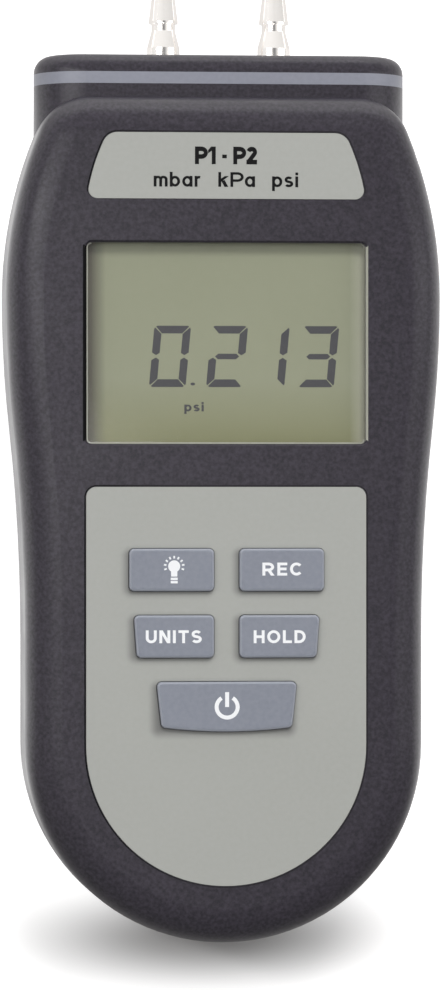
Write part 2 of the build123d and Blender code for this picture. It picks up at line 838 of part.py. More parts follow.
# Battery, its snap with two leads, and the foam pad that the door presses on
with BuildPart() as battery:
    with Locations((0, (battery_low_y + battery_high_y) / 2, battery_mid_z)):
        Box(battery_x, battery_y, battery_z)
    fillet(battery.edges().filter_by(Axis.Y), radius=battery_corner)
    for side, radius in zip((-1, 1), stud_r):
        with BuildSketch(across(battery_high_y)):
            with Locations((side * stud_pitch / 2, battery_mid_z)):
                Circle(radius)
        extrude(amount=-stud_tall)
battery.part.label = "battery"
export_step(battery.part, "parts/battery.step")

with BuildPart() as battery_snap:
    with BuildSketch(across(battery_high_y + snap_gap)):
        with Locations((0, battery_mid_z)):
            RectangleRounded(snap_x, snap_z, battery_corner)
    extrude(amount=-snap_thick)
    for side, radius in zip((-1, 1), stud_r):
        with BuildSketch(across(battery_high_y + snap_gap)):
            with Locations((side * stud_pitch / 2, battery_mid_z)):
                Circle(radius + stud_gap)
        extrude(amount=-stud_tall, mode=Mode.SUBTRACT)
battery_snap.part.label = "battery_snap"
export_step(battery_snap.part, "parts/battery_snap.step")

snap_high_y = battery_high_y + snap_gap + snap_thick
with BuildPart() as battery_leads:
    for side in (-1, 1):
        x = side * lead_pitch / 2
        with BuildLine() as path:
            FilletPolyline(
                (x, snap_high_y, lead_z),
                (x, lead_rise_y, lead_z),
                (x, lead_rise_y, board_low_z),
                radius=lead_bend,
            )
        with BuildSketch(across(snap_high_y)):
            with Locations((x, lead_z)):
                Circle(lead_d / 2)
        sweep(path=path.wires()[0])
battery_leads.part.label = "battery_leads"
export_step(battery_leads.part, "parts/battery_leads.step")

with BuildPart() as battery_pad:
    with Locations((0, bay_mid_y, door_thick + pad_thick / 2)):
        Box(pad_x, pad_y, pad_thick)
battery_pad.part.label = "battery_pad"
export_step(battery_pad.part, "parts/battery_pad.step")

# Battery door with two tabs at its lower end and a screw at its upper end
with BuildPart() as battery_door:
    extrude(door_plan(0), amount=door_thick)
    with Locations(*[(x, y, door_thick + tab_thick / 2) for x, y in tab_places]):
        Box(tab_wide, 2 * (door_lap + tab_reach), tab_thick)
    with Locations(*[(0, y, grip_deep / 2) for y in grip_places]):
        Box(grip_long, grip_wide, grip_deep, mode=Mode.SUBTRACT)
    with Locations(Plane((0, door_screw_y, 0), z_dir=(0, 0, -1)).location):
        CounterSinkHole(
            door_screw_d / 2 + door_hole_gap, door_head_d / 2 + door_hole_gap, door_thick
        )
battery_door.part.label = "battery_door"
export_step(battery_door.part, "parts/battery_door.step")


# Countersunk screw of the battery door
with BuildPart() as door_screw:
    with BuildSketch(Plane.XZ.offset(-door_screw_y)) as half:
        with BuildLine():
            Polyline(
                (0, 0),
                (door_head_d / 2, 0),
                (door_screw_d / 2, (door_head_d - door_screw_d) / 2),
                (door_screw_d / 2, door_screw_long),
                (0, door_screw_long),
                close=True,
            )
        make_face()
    revolve(axis=Axis((0, door_screw_y, 0), (0, 0, 1)))
    cut_cross([(0, door_screw_y)], 0, door_head_d)
door_screw.part.label = "door_screw"
export_step(door_screw.part, "parts/door_screw.step")


def pan_screws(places, seat_z, shank_d, shank_long, head_d, head_tall):
    """Make screws that point up, with their round heads under a seat."""
    with BuildPart() as screws:
        with Locations(*[(x, y, seat_z) for x, y in places]):
            Cylinder(shank_d / 2, shank_long, align=(Align.CENTER, Align.CENTER, Align.MIN))
            Cylinder(head_d / 2, head_tall, align=(Align.CENTER, Align.CENTER, Align.MAX))
        fillet(screws.faces().group_by(Axis.Z)[0].edges(), radius=head_tall * screw_head_round)
        cut_cross(places, seat_z - head_tall, head_d)
    return screws.part


# Screws of the housing, driven from the back, and of the circuit board
case_screw_set = pan_screws(
    case_screws, case_seat_z, case_screw_d, case_grip, case_head_d, case_head_tall
)
case_screw_set.label = "case_screws"
export_step(case_screw_set, "parts/case_screws.step")

board_screw_set = pan_screws(
    board_screws, board_low_z, board_screw_d, board_screw_long, board_head_d, board_head_tall
)
board_screw_set.label = "board_screws"
export_step(board_screw_set, "parts/board_screws.step")
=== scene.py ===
# %% [markdown]
# A handheld digital differential manometer, dressed in Blender.
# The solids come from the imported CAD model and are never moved. This lesson gives each of them
# a finish that is built from nodes, prints the display and the legends as thin pieces of their
# own, and sets up the floor, the lamps and the camera of the photograph.

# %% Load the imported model
import json
import math

import bpy
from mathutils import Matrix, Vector


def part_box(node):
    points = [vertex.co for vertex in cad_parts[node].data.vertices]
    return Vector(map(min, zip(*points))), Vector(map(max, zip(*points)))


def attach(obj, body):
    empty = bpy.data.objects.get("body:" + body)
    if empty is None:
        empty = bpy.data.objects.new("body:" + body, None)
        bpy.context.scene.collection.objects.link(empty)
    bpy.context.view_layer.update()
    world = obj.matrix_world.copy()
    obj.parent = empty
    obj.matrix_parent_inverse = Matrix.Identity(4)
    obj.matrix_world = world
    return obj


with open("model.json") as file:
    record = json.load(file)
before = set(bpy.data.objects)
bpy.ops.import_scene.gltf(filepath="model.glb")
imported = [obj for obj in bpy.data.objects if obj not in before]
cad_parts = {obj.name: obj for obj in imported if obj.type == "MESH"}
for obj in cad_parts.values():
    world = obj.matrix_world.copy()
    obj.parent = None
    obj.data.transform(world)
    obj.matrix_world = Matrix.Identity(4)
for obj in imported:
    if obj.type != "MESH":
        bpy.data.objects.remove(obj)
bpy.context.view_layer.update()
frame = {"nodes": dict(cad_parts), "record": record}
nodes = frame["nodes"]
mm = 0.001

# %% [markdown]
# The camera comes first, because everything else is seen through it.
# In the photograph the face features sit about 6 pixels to the right of the middle of the
# outline, so the camera stands a little to the left. Its height follows from the outline being
# 2 % smaller in scale than the face. A long lens and a camera that points at the middle of the
# meter give that view with no shift.

# %% Camera of the photograph
joint_height = 19.5 * mm        # the outline is widest where the two shells meet
camera_high = 800 * mm          # above that height
camera_left = 63 * mm
pixel = 0.1808 * mm             # size of a pixel of the photograph at the outline
picture_tall = 990 * pixel
sensor = 36.0                   # side of the camera's sensor, in its own millimetres
aim = Vector((0.29 * mm, 0.27 * mm, joint_height))

camera_data = bpy.data.cameras.new("photo_camera")
camera = bpy.data.objects.new("photo_camera", camera_data)
bpy.context.scene.collection.objects.link(camera)
camera.location = aim + Vector((-camera_left, 0, camera_high))
camera.rotation_euler = (0, -math.atan(camera_left / camera_high), 0)
camera_data.sensor_fit = "AUTO"
camera_data.sensor_width = sensor
camera_data.lens = sensor * (aim - camera.location).length / picture_tall
camera_data.clip_start = 0.01
camera_data.clip_end = 20.0
bpy.context.scene.camera = camera
print("lens", round(camera_data.lens, 1))

# %% [markdown]
# Materials and the world are trees of nodes. Five short functions add the nodes that come up
# again and again, so that the cells below read as the sums that they are. Each takes numbers or
# the outputs of other nodes alike.

# %% Functions that add nodes


def wire(tree, output, socket):
    """Join two sockets of a node tree."""
    tree.links.new(output, socket)


def feed(tree, socket, value):
    """Give a socket a number or colour, or join it to another node's output."""
    if isinstance(value, (int, float, tuple)):
        socket.default_value = value
    else:
        wire(tree, value, socket)


def math_of(tree, operation, first, second=0.0):
    """Add a math node and return its result."""
    node = tree.nodes.new("ShaderNodeMath")
    node.operation = operation
    feed(tree, node.inputs[0], first)
    feed(tree, node.inputs[1], second)
    return node.outputs[0]


def spread(tree, value, low, high, to_low=0.0, to_high=1.0):
    """Stretch a value from one range onto another."""
    node = tree.nodes.new("ShaderNodeMapRange")
    labels = ("Value", "From Min", "From Max", "To Min", "To Max")
    for label, number in zip(labels, (value, low, high, to_low, to_high)):
        feed(tree, node.inputs[label], number)
    return node.outputs[0]


def mix_of(tree, share, first, second):
    """Mix two colours and return the result."""
    node = tree.nodes.new("ShaderNodeMix")
    node.data_type = "RGBA"
    for label, value in (("Factor", share), ("A", first), ("B", second)):
        feed(tree, node.inputs[label], value)
    return node.outputs["Result"]


print("functions", [f.__name__ for f in (wire, feed, math_of, spread, mix_of)])

# %% [markdown]
# The light is that of a product table. Everything round the meter is white, apart from the dim
# spot over it where the camera hangs, and reflections show that. The camera sees plain white,
# and the world gives only a little of the light, so that the lamps shape the pieces.

# %% World light
white = (1.0, 1.0, 1.0, 1.0)
overhead = (0.25, 0.25, 0.26, 1.0)      # the dim spot
spot_edge, spot_full = 0.94, 0.998      # height of a direction where the spot begins and is full
mirror_slope = (-0.1, 0.36, 0.0)        # reflections are brighter towards the ports
mirror_level = 0.8
world_level = 0.3
scene = bpy.context.scene
scene.view_settings.view_transform = "Standard"
world = bpy.data.worlds.new("product_table")
scene.world = world
world.use_nodes = True
sky = world.node_tree
sky.nodes.clear()


def background(colour, strength):
    """Add a background shader to the world."""
    node = sky.nodes.new("ShaderNodeBackground")
    feed(sky, node.inputs["Color"], colour)
    feed(sky, node.inputs["Strength"], strength)
    return node.outputs[0]


def either(share, first, second):
    """Choose between two shaders of the world."""
    node = sky.nodes.new("ShaderNodeMixShader")
    for socket, output in zip(node.inputs, (share, first, second)):
        wire(sky, output, socket)
    return node.outputs[0]


sky_way = sky.nodes.new("ShaderNodeTexCoord").outputs["Generated"]
sky_split = sky.nodes.new("ShaderNodeSeparateXYZ")
sky_ramp = sky.nodes.new("ShaderNodeValToRGB")
sky_slope = sky.nodes.new("ShaderNodeVectorMath")
wire(sky, sky_way, sky_split.inputs[0])
wire(sky, sky_split.outputs["Z"], sky_ramp.inputs["Fac"])
spot_open, spot_dim = sky_ramp.color_ramp.elements
spot_open.position, spot_open.color = spot_edge, white
spot_dim.position, spot_dim.color = spot_full, overhead
sky_slope.operation = "DOT_PRODUCT"
sky_slope.inputs[1].default_value = mirror_slope
wire(sky, sky_way, sky_slope.inputs[0])
sky_level = math_of(sky, "ADD", sky_slope.outputs["Value"], mirror_level)

sky_ray = sky.nodes.new("ShaderNodeLightPath").outputs
sky_mirrored = math_of(sky, "MAXIMUM", sky_ray["Is Glossy Ray"], sky_ray["Is Transmission Ray"])
sky_shown = background(sky_ramp.outputs["Color"], sky_level)
sky_hidden = either(sky_mirrored, background(white, world_level), sky_shown)
sky_out = sky.nodes.new("ShaderNodeOutputWorld")
sky_all = either(sky_ray["Is Camera Ray"], sky_hidden, background(white, 1.0))
wire(sky, sky_all, sky_out.inputs["Surface"])
print("world", world.name, "with", len(sky.nodes), "nodes")

# %% [markdown]
# Four area lamps do the rest. The main one hangs nearly overhead, beyond the ports, and is kept
# out of the reflections so that it leaves no glare. A long lamp at the left draws a soft ridge
# of light along the rounded border of the dark housing, a weaker one at the right answers it,
# and a wide low one beyond the ports lights the upper end.

# %% Lamps


def soft_lamp(name, place, size, power):
    """Add an area lamp that points at the meter, in metres and watts."""
    data = bpy.data.lights.new(name, "AREA")
    data.shape = "RECTANGLE"
    data.size, data.size_y = size
    data.energy = power
    lamp = bpy.data.objects.new(name, data)
    scene.collection.objects.link(lamp)
    lamp.location = place
    lamp.rotation_mode = "QUATERNION"
    lamp.rotation_quaternion = (aim - Vector(place)).to_track_quat("-Z", "Y")
    return lamp


lamp_beyond = soft_lamp("lamp_beyond", (0.2, 0.88, 1.33), (0.5, 0.42), 12.5)
lamp_beyond.visible_glossy = False
soft_lamp("lamp_left", (-0.41, 0.14, 0.82), (0.08, 1.1), 2.6)
soft_lamp("lamp_right", (0.75, 0.1, 0.6), (0.2, 0.9), 1.1)
soft_lamp("lamp_low", (0, 1.3, 0.2), (1.6, 0.4), 3.6)
print("lamps", len(bpy.data.lights))

# %% [markdown]
# The floor is a plain sheet that is white to the camera and still takes the soft shadow under
# the round end. Its own colour carries the shadow, and a light of its own, seen by the camera
# and in reflections only, lifts the open floor to white. That light fades out in an oval under
# the round end and right under the base, where the meter's own shadow is to stay deep, so the
# oval also paints the outline of that shadow.

# %% Floor sheet
bpy.ops.object.select_all(action="DESELECT")
bpy.ops.mesh.primitive_plane_add(size=6, location=(0, 0, -0.02 * mm))
floor = bpy.context.object
floor.name = "floor"
floor_paper = bpy.data.materials.new("floor paper")
floor_paper.use_nodes = True
paper = floor_paper.node_tree
paper.nodes.clear()
paper_place = paper.nodes.new("ShaderNodeTexCoord").outputs["Object"]
paper_split = paper.nodes.new("ShaderNodeSeparateXYZ")
wire(paper, paper_place, paper_split.inputs[0])
paper_x, paper_y = paper_split.outputs["X"], paper_split.outputs["Y"]
paper_ray = paper.nodes.new("ShaderNodeLightPath").outputs
print("floor", [round(v, 2) for v in floor.dimensions])

# %% Light of the open floor, as the camera sees it
shadow_middle = (0, -81.6 * mm, 0)                      # the oval under the round end
shadow_half = (49 * mm, 12.7 * mm, 1)
shadow_start, shadow_end = 0.09, 1.04                   # in shares of its half width
open_level = 0.92
base_low, base_high, base_r = -45 * mm, 34 * mm, 34 * mm    # the base is a long oval
base_soft = 1.2 * mm

# Painted shadow shape: the oval sets where the meter's own shadow shows under the round end.
shadow_oval = paper.nodes.new("ShaderNodeMapping")
shadow_oval.vector_type = "TEXTURE"
shadow_oval.inputs["Location"].default_value = shadow_middle
shadow_oval.inputs["Scale"].default_value = shadow_half
shadow_far = paper.nodes.new("ShaderNodeVectorMath")
shadow_far.operation = "LENGTH"
wire(paper, paper_place, shadow_oval.inputs["Vector"])
wire(paper, shadow_oval.outputs[0], shadow_far.inputs[0])
past_shadow = spread(paper, shadow_far.outputs["Value"], shadow_start, shadow_end)
past_shadow.node.interpolation_type = "SMOOTHSTEP"
seen_level = math_of(paper, "MULTIPLY", past_shadow, open_level)
open_glow = math_of(paper, "MULTIPLY", paper_ray["Is Camera Ray"], seen_level)

on_axis = spread(paper, paper_y, base_low, base_high, base_low, base_high)
past_end = math_of(paper, "SUBTRACT", paper_y, on_axis)
squares = [math_of(paper, "POWER", side, 2) for side in (paper_x, past_end)]
from_axis = math_of(paper, "SQRT", math_of(paper, "ADD", *squares))
past_base = spread(paper, from_axis, base_r, base_r + base_soft)
seen_glow = math_of(paper, "MULTIPLY", open_glow, past_base)
print("shadow from", shadow_start, "to", shadow_end, "of its oval")

# %% [markdown]
# Polished metal and the steep sides mirror the floor. In the photograph the ports are almost
# the colour of the background along their outer sides and a little darker at their foot, so
# what they mirror gets levels of its own along the meter, and it dies away past the round end.

# %% Light of the floor in reflections
bright_mirror, foot_mirror = 1.15, 0.36
foot_start, foot_full = 62 * mm, 82 * mm
tip_start, tip_full = 106 * mm, 124 * mm
end_start, end_full = -84 * mm, -52 * mm
view_spread = 0.1               # what the ports mirror drifts with the distance from the middle
drift = math_of(paper, "MULTIPLY", math_of(paper, "ABSOLUTE", paper_x), view_spread)
port_y = math_of(paper, "SUBTRACT", paper_y, drift)
before_foot = spread(paper, port_y, foot_start, foot_full, bright_mirror, foot_mirror)
past_foot = spread(paper, port_y, tip_start, tip_full, 0.0, bright_mirror)
beside_ports = math_of(paper, "MAXIMUM", before_foot, past_foot)
past_round_end = spread(paper, paper_y, end_start, end_full)
mirror_share = math_of(paper, "MULTIPLY", beside_ports, past_round_end)
mirrored = math_of(paper, "MAXIMUM", paper_ray["Is Glossy Ray"], paper_ray["Is Transmission Ray"])
mirror_glow = math_of(paper, "MULTIPLY", mirrored, mirror_share)
print("mirrored floor at", bright_mirror, "and", foot_mirror)

# %% Floor paper
paper_colour = (0.54, 0.53, 0.525, 1)
paper_matt = paper.nodes.new("ShaderNodeBsdfDiffuse")
paper_glow = paper.nodes.new("ShaderNodeEmission")
paper_sum = paper.nodes.new("ShaderNodeAddShader")
paper_out = paper.nodes.new("ShaderNodeOutputMaterial")
paper_matt.inputs["Color"].default_value = paper_colour
wire(paper, math_of(paper, "ADD", seen_glow, mirror_glow), paper_glow.inputs["Strength"])
wire(paper, paper_matt.outputs[0], paper_sum.inputs[0])
wire(paper, paper_glow.outputs[0], paper_sum.inputs[1])
wire(paper, paper_sum.outputs[0], paper_out.inputs["Surface"])
floor.data.materials.append(floor_paper)
print("floor paper with", len(paper.nodes), "nodes")

# %% [markdown]
# Moulded plastic is never one flat colour. Three small node groups carry what all the finishes
# share: a fine grain for the bump, a slow drift between two tones, and a drift in roughness
# where hands have polished a surface. Each material then sets its own scale and amount.

# %% Node groups that all finishes share
number, colour, vector = "NodeSocketFloat", "NodeSocketColor", "NodeSocketVector"
wide_share = 0.45                       # scale of the coarser grain next to the fine one
speck_low, speck_high = 0.32, 0.68
patch_low, patch_high = 0.3, 0.7        # the part of a noise that most of it lies in


def new_group(name, inputs, outputs):
    """Make an empty shader node group with its sockets and return it with its end sockets."""
    tree = bpy.data.node_groups.new(name, "ShaderNodeTree")
    for label, kind, value in inputs:
        socket = tree.interface.new_socket(name=label, in_out="INPUT", socket_type=kind)
        socket.default_value = value
    for label, kind in outputs:
        tree.interface.new_socket(name=label, in_out="OUTPUT", socket_type=kind)
    group_in = tree.nodes.new("NodeGroupInput").outputs
    return tree, group_in, tree.nodes.new("NodeGroupOutput").inputs


def noise(tree, vector, scale, detail, rough):
    """Add a noise texture and return its value."""
    node = tree.nodes.new("ShaderNodeTexNoise")
    labels = ("Vector", "Scale", "Detail", "Roughness")
    for label, value in zip(labels, (vector, scale, detail, rough)):
        feed(tree, node.inputs[label], value)
    return node.outputs["Fac"]


grain, grain_in, grain_out = new_group(
    "moulded grain",
    [("Vector", vector, (0, 0, 0)), ("Grains per metre", number, 1500.0)],
    [("Height", number), ("Speck", number)],
)
grains_wide = math_of(grain, "MULTIPLY", grain_in["Grains per metre"], wide_share)
grain_fine = noise(grain, grain_in["Vector"], grain_in["Grains per metre"], 3.0, 0.6)
grain_wide = noise(grain, grain_in["Vector"], grains_wide, 2.0, 0.5)
grain_sum = math_of(grain, "ADD", grain_fine, grain_wide)
wire(grain, math_of(grain, "MULTIPLY", grain_sum, 0.5), grain_out["Height"])
wire(grain, spread(grain, grain_wide, speck_low, speck_high), grain_out["Speck"])
print("group", grain.name)

# %% Tone and roughness groups
tone, tone_in, tone_out = new_group(
    "two tones",
    [
        ("Vector", vector, (0, 0, 0)),
        ("Main tone", colour, (0.5, 0.5, 0.5, 1)),
        ("Other tone", colour, (0.4, 0.4, 0.4, 1)),
        ("Speck tone", colour, (0.45, 0.45, 0.45, 1)),
        ("Patches per metre", number, 60.0),
        ("Speck", number, 0.5),
        ("Speck share", number, 0.3),
    ],
    [("Color", colour)],
)
tone_patch = noise(tone, tone_in["Vector"], tone_in["Patches per metre"], 3.0, 0.55)
tone_share = spread(tone, tone_patch, patch_low, patch_high)
tone_slow = mix_of(tone, tone_share, tone_in["Main tone"], tone_in["Other tone"])
speck_share = math_of(tone, "MULTIPLY", tone_in["Speck"], tone_in["Speck share"])
wire(tone, mix_of(tone, speck_share, tone_slow, tone_in["Speck tone"]), tone_out["Color"])

polish, polish_in, polish_out = new_group(
    "handled polish",
    [
        ("Vector", vector, (0, 0, 0)),
        ("Smooth", number, 0.35),
        ("Rough", number, 0.5),
        ("Patches per metre", number, 90.0),
    ],
    [("Roughness", number)],
)
polish_patch = noise(polish, polish_in["Vector"], polish_in["Patches per metre"], 4.0, 0.6)
polish_ends = polish_in["Smooth"], polish_in["Rough"]
polish_value = spread(polish, polish_patch, patch_low, patch_high, *polish_ends)
wire(polish, polish_value, polish_out["Roughness"])
print("groups", tone.name, "and", polish.name)

# %% [markdown]
# One recipe joins the groups to a Principled shader. What is the same all over a surface, such
# as its metal share or its coat, is set on the shader itself, and the pictures of the surface,
# its colour, roughness and bump, come from the groups on Object coordinates. Colours are
# written from 0 to 255, as they are measured on a picture.

# %% Recipe of a finish


def srgb(red, green, blue):
    """Turn a colour from 0 to 255, as measured on a picture, into a linear one."""
    linear = []
    for value in (red, green, blue):
        share = value / 255
        linear.append(share / 12.92 if share <= 0.04045 else ((share + 0.055) / 1.055) ** 2.4)
    return (*linear, 1.0)


def place_group(tree, group, vector, **values):
    """Put a node group into a material, set its inputs and return it."""
    node = tree.nodes.new("ShaderNodeGroup")
    node.node_tree = group
    wire(tree, vector, node.inputs["Vector"])
    for label, value in values.items():
        feed(tree, node.inputs[label.replace("_", " ")], value)
    return node


def finish_of(
    name, tones, smooth, rough, grains=1500.0, patches=60.0, share=0.3, bump=0.05, depth=0.05, **sockets
):
    """Make a material from its main, other and speck tones and return it."""
    main, other, speck = [srgb(*colour) for colour in tones]
    material = bpy.data.materials.new(name)
    material.use_nodes = True
    tree = material.node_tree
    shader = tree.nodes["Principled BSDF"]
    place = tree.nodes.new("ShaderNodeTexCoord").outputs["Object"]
    grain_node = place_group(tree, grain, place, Grains_per_metre=grains)
    tone_node = place_group(
        tree, tone, place, Main_tone=main, Other_tone=other, Speck_tone=speck, Patches_per_metre=patches
    )
    feed(tree, tone_node.inputs["Speck"], grain_node.outputs["Speck"])
    feed(tree, tone_node.inputs["Speck share"], share)
    polish_node = place_group(tree, polish, place, Smooth=smooth, Rough=rough)
    bump_node = tree.nodes.new("ShaderNodeBump")
    bump_node.inputs["Strength"].default_value = bump
    bump_node.inputs["Distance"].default_value = depth * mm
    wire(tree, grain_node.outputs["Height"], bump_node.inputs["Height"])
    wire(tree, tone_node.outputs["Color"], shader.inputs["Base Color"])
    wire(tree, polish_node.outputs["Roughness"], shader.inputs["Roughness"])
    wire(tree, bump_node.outputs["Normal"], shader.inputs["Normal"])
    for label, value in sockets.items():
        shader.inputs[label.replace("_", " ")].default_value = value
    return material


print("mid grey is", round(srgb(128, 128, 128)[0], 3))

# %% [markdown]
# Some finishes change from place to place: the keys carry a painted highlight along their rounded
# edges, and the display is tinted towards its borders, partly with painted shade and painted
# light. A mask that rises along an axis of the meter says where, and a second tone is laid over
# the finish's own colour.

# %% Tones that change along the meter


def along(finish, axis, low, high):
    """Return a mask that rises from 0 to 1 between two places on an axis."""
    tree = finish.node_tree
    split = tree.nodes.new("ShaderNodeSeparateXYZ")
    wire(tree, tree.nodes["Texture Coordinate"].outputs["Object"], split.inputs[0])
    return spread(tree, split.outputs[axis], low, high)


def lay_over(finish, mask, tone_low=None, tone_high=None):
    """Replace a finish's own colour by a tone where its mask is 0, or where it is 1."""
    tree = finish.node_tree
    shown = tree.nodes["Principled BSDF"].inputs["Base Color"]
    own = shown.links[0].from_socket
    wire(tree, mix_of(tree, mask, tone_low or own, tone_high or own), shown)


print("functions", along.__name__, "and", lay_over.__name__)

# %% [markdown]
# The housing is moulded in a dark grey with a violet cast and a spark-eroded grain: tiny specks
# that scatter the lamps. It is kept dark in its own colour, because its sheen adds the rest.
# The ring, the plates and the keys are smoother plastics, and the keys carry a painted highlight
# round the rim of their tops, where the rubber is rounded over.

# %% Plastics of the outside
finishes = {}
housing_tones = (30, 27, 35), (27, 24, 32), (66, 60, 71)
housing_grain = {"grains": 3600.0, "patches": 45.0, "share": 0.55, "bump": 0.32, "depth": 0.04}
finishes["housing"] = finish_of(
    "dark moulded housing", housing_tones, 0.3, 0.38, **housing_grain, Specular_IOR_Level=0.38
)
ring_tones = (136, 138, 149), (130, 132, 143), (144, 146, 157)
plate_tones = (166, 167, 162), (163, 164, 159), (170, 171, 167)
key_tones = (130, 134, 145), (126, 130, 141), (139, 143, 153)
finishes["ring"] = finish_of(
    "silver grey ring", ring_tones, 0.36, 0.44, grains=2600.0, share=0.4, bump=0.1
)
finishes["plate"] = finish_of(
    "light grey plate", plate_tones, 0.5, 0.6, grains=2400.0, patches=25.0, share=0.4, bump=0.08
)
finishes["key"] = finish_of(
    "blue grey key rubber", key_tones, 0.5, 0.6, grains=2600.0, patches=70.0, share=0.5, bump=0.15
)
# Painted highlight: the tops of the keys are paler round their rounded rim.
key_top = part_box("key_rec")[1].z
rim_highlight_low, rim_highlight_high = key_top - 0.12 * mm, key_top - 0.004 * mm
key_rim_highlight = along(finishes["key"], "Z", rim_highlight_low, rim_highlight_high)
lay_over(finishes["key"], key_rim_highlight, tone_low=srgb(158, 162, 172))
print("finishes", len(finishes))

# %% [markdown]
# The two ports are nickel-plated and polished, so they are almost all reflection. The nuts
# behind them are plain brass, and the screws are zinc-plated steel.

# %% Metals
nickel_tones = (246, 242, 238), (241, 237, 232), (249, 246, 243)
brass_tones = (214, 178, 104), (200, 164, 92), (224, 190, 120)
steel_tones = (178, 178, 180), (166, 166, 170), (190, 190, 192)
finishes["plated"] = finish_of(
    "polished nickel", nickel_tones, 0.1, 0.16, grains=4000.0, bump=0.03, Metallic=1.0
)
finishes["brass"] = finish_of(
    "turned brass", brass_tones, 0.25, 0.38, grains=3000.0, bump=0.06, Metallic=1.0
)
finishes["steel"] = finish_of(
    "zinc plated steel", steel_tones, 0.28, 0.42, grains=3000.0, bump=0.06, Metallic=1.0
)
print("metals", [finishes[slot].name for slot in ("plated", "brass", "steel")])

# %% [markdown]
# What lies inside the housing is finished too, because the model can be opened: green board,
# black chips, a grey sensor, milky silicone tubes, the soft mat, the battery and its foam. The
# plain ones differ only in tone and roughness, so a table of them is enough.

# %% Inner pieces
plain_rows = {
    "seal": ("black seal rubber", ((34, 34, 35), (28, 28, 29), (44, 44, 45)), 0.55, 0.7, 0.1),
    "black_plastic": ("black inner plastic", ((44, 44, 46), (38, 38, 40), (52, 52, 54)), 0.4, 0.5, 0.1),
    "chip": ("black chip resin", ((40, 40, 42), (34, 34, 36), (58, 58, 60)), 0.5, 0.62, 0.15),
    "sensor": ("grey sensor body", ((92, 94, 98), (84, 86, 90), (102, 104, 108)), 0.42, 0.55, 0.1),
    "mat": ("soft keypad silicone", ((120, 122, 126), (112, 114, 118), (130, 132, 136)), 0.5, 0.65, 0.05),
    "lead": ("red lead insulation", ((176, 34, 30), (160, 28, 26), (190, 50, 44)), 0.3, 0.42, 0.05),
}
for slot, (name, tones, smooth, rough, bump) in plain_rows.items():
    finishes[slot] = finish_of(name, tones, smooth, rough, bump=bump)

milky_tones = (226, 228, 222), (220, 222, 216), (232, 233, 228)
tube_tones = (214, 214, 208), (206, 206, 200), (222, 222, 217)
board_tones = (34, 98, 58), (28, 88, 52), (44, 110, 66)
jacket_tones = (96, 100, 108), (88, 92, 100), (108, 112, 120)
foam_tones = (50, 50, 52), (38, 38, 40), (74, 74, 76)
finishes["diffuser"] = finish_of("milky light guide", milky_tones, 0.3, 0.4, Subsurface_Weight=0.15)
finishes["tube"] = finish_of("milky silicone tube", tube_tones, 0.35, 0.5, Subsurface_Weight=0.2)
finishes["board"] = finish_of(
    "green board lacquer", board_tones, 0.25, 0.36, grains=900.0, patches=200.0, bump=0.1, Coat_Weight=0.4
)
finishes["battery"] = finish_of("plain battery jacket", jacket_tones, 0.28, 0.4, bump=0.04, Metallic=0.5)
finishes["foam"] = finish_of(
    "black foam", foam_tones, 0.85, 0.95, grains=1300.0, share=0.7, bump=0.7, depth=0.3
)
print("finishes", len(finishes))

# %% [markdown]
# The display is a reflective panel of warm grey green. It is yellower towards its lower edge,
# has painted shade along its left side, where the frame that holds it keeps the light off, and
# painted light along its right side, over the shadow of the opening's wall. Three masks on its own
# coordinates lay these tones over the recipe.

# %% Display panel
lcd_low, lcd_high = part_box("lcd_glass")
lcd_tones = (153, 156, 129), (150, 153, 126), (157, 159, 133)
lcd_finish = finish_of(
    "reflective display", lcd_tones, 0.42, 0.5, grains=1600.0, patches=40.0, share=0.35, bump=0.02
)
yellow_tall = 14 * mm
left_shade_full, left_shade_end = -23.8 * mm, -21.2 * mm
right_light_start, right_light_full = 22.2 * mm, 25.6 * mm
lcd_up = along(lcd_finish, "Y", lcd_low.y, lcd_low.y + yellow_tall)
lay_over(lcd_finish, lcd_up, tone_low=srgb(130, 130, 84))
# Painted shade along the left side of the display.
lcd_left_shade = along(lcd_finish, "X", left_shade_full, left_shade_end)
lay_over(lcd_finish, lcd_left_shade, tone_low=srgb(94, 90, 76))
# Painted light along the right side, over the shadow of the opening's wall.
lcd_right_light = along(lcd_finish, "X", right_light_start, right_light_full)
lay_over(lcd_finish, lcd_right_light, tone_high=srgb(196, 196, 176))
finishes["lcd"] = lcd_finish
print("display from", round(lcd_low.y, 4), "to", round(lcd_high.y, 4))

# %% [markdown]
# The window over it is clear and thin. Glass that bends every ray would slow the picture and
# change nothing that can be seen, so the window is a smooth surface whose low alpha lets the
# display through and keeps the reflections.

# %% Clear window
window_finish = bpy.data.materials.new("clear window")
window_finish.use_nodes = True
window_tree = window_finish.node_tree
window_shader = window_tree.nodes["Principled BSDF"]
window_place = window_tree.nodes.new("ShaderNodeTexCoord").outputs["Object"]
window_polish = place_group(window_tree, polish, window_place, Smooth=0.04, Rough=0.09)
wire(window_tree, window_polish.outputs["Roughness"], window_shader.inputs["Roughness"])
window_shader.inputs["Base Color"].default_value = (0.3, 0.31, 0.3, 1)
window_shader.inputs["Alpha"].default_value = 0.07
finishes["window"] = window_finish
print("window alpha", window_shader.inputs["Alpha"].default_value)

# %% [markdown]
# Every CAD node names a slot in the record, and gets the finish of that slot. Its mesh is left
# as it is, and only the material in it is changed.

# %% Give every CAD node its finish
for part in frame["record"]["subparts"]:
    mesh = nodes[part["node"]].data
    mesh.materials.clear()
    mesh.materials.append(finishes[part["material_slot"]])

# %% [markdown]
# The keys are soft and stand proud, so little light reaches the panel right beside them. The
# panel gets a finish of its own, with a soft shade round each key that is wider towards the
# lower left, away from the lamps. It is worked out from the boxes of the keys.

# %% Shade round the keys
flange_wide = 0.9 * mm          # the hidden rim that widens the box of a key
shade_shift = Vector((-0.54 * mm, -0.4 * mm, 0))
shade_start = 0.9 * mm          # how far inside the key the shade begins
shade_reach = 2.17 * mm
panel_finish = finishes["plate"].copy()
panel_finish.name = "keypad panel"
panel_tree = panel_finish.node_tree
panel_place = panel_tree.nodes["Texture Coordinate"].outputs["Object"]


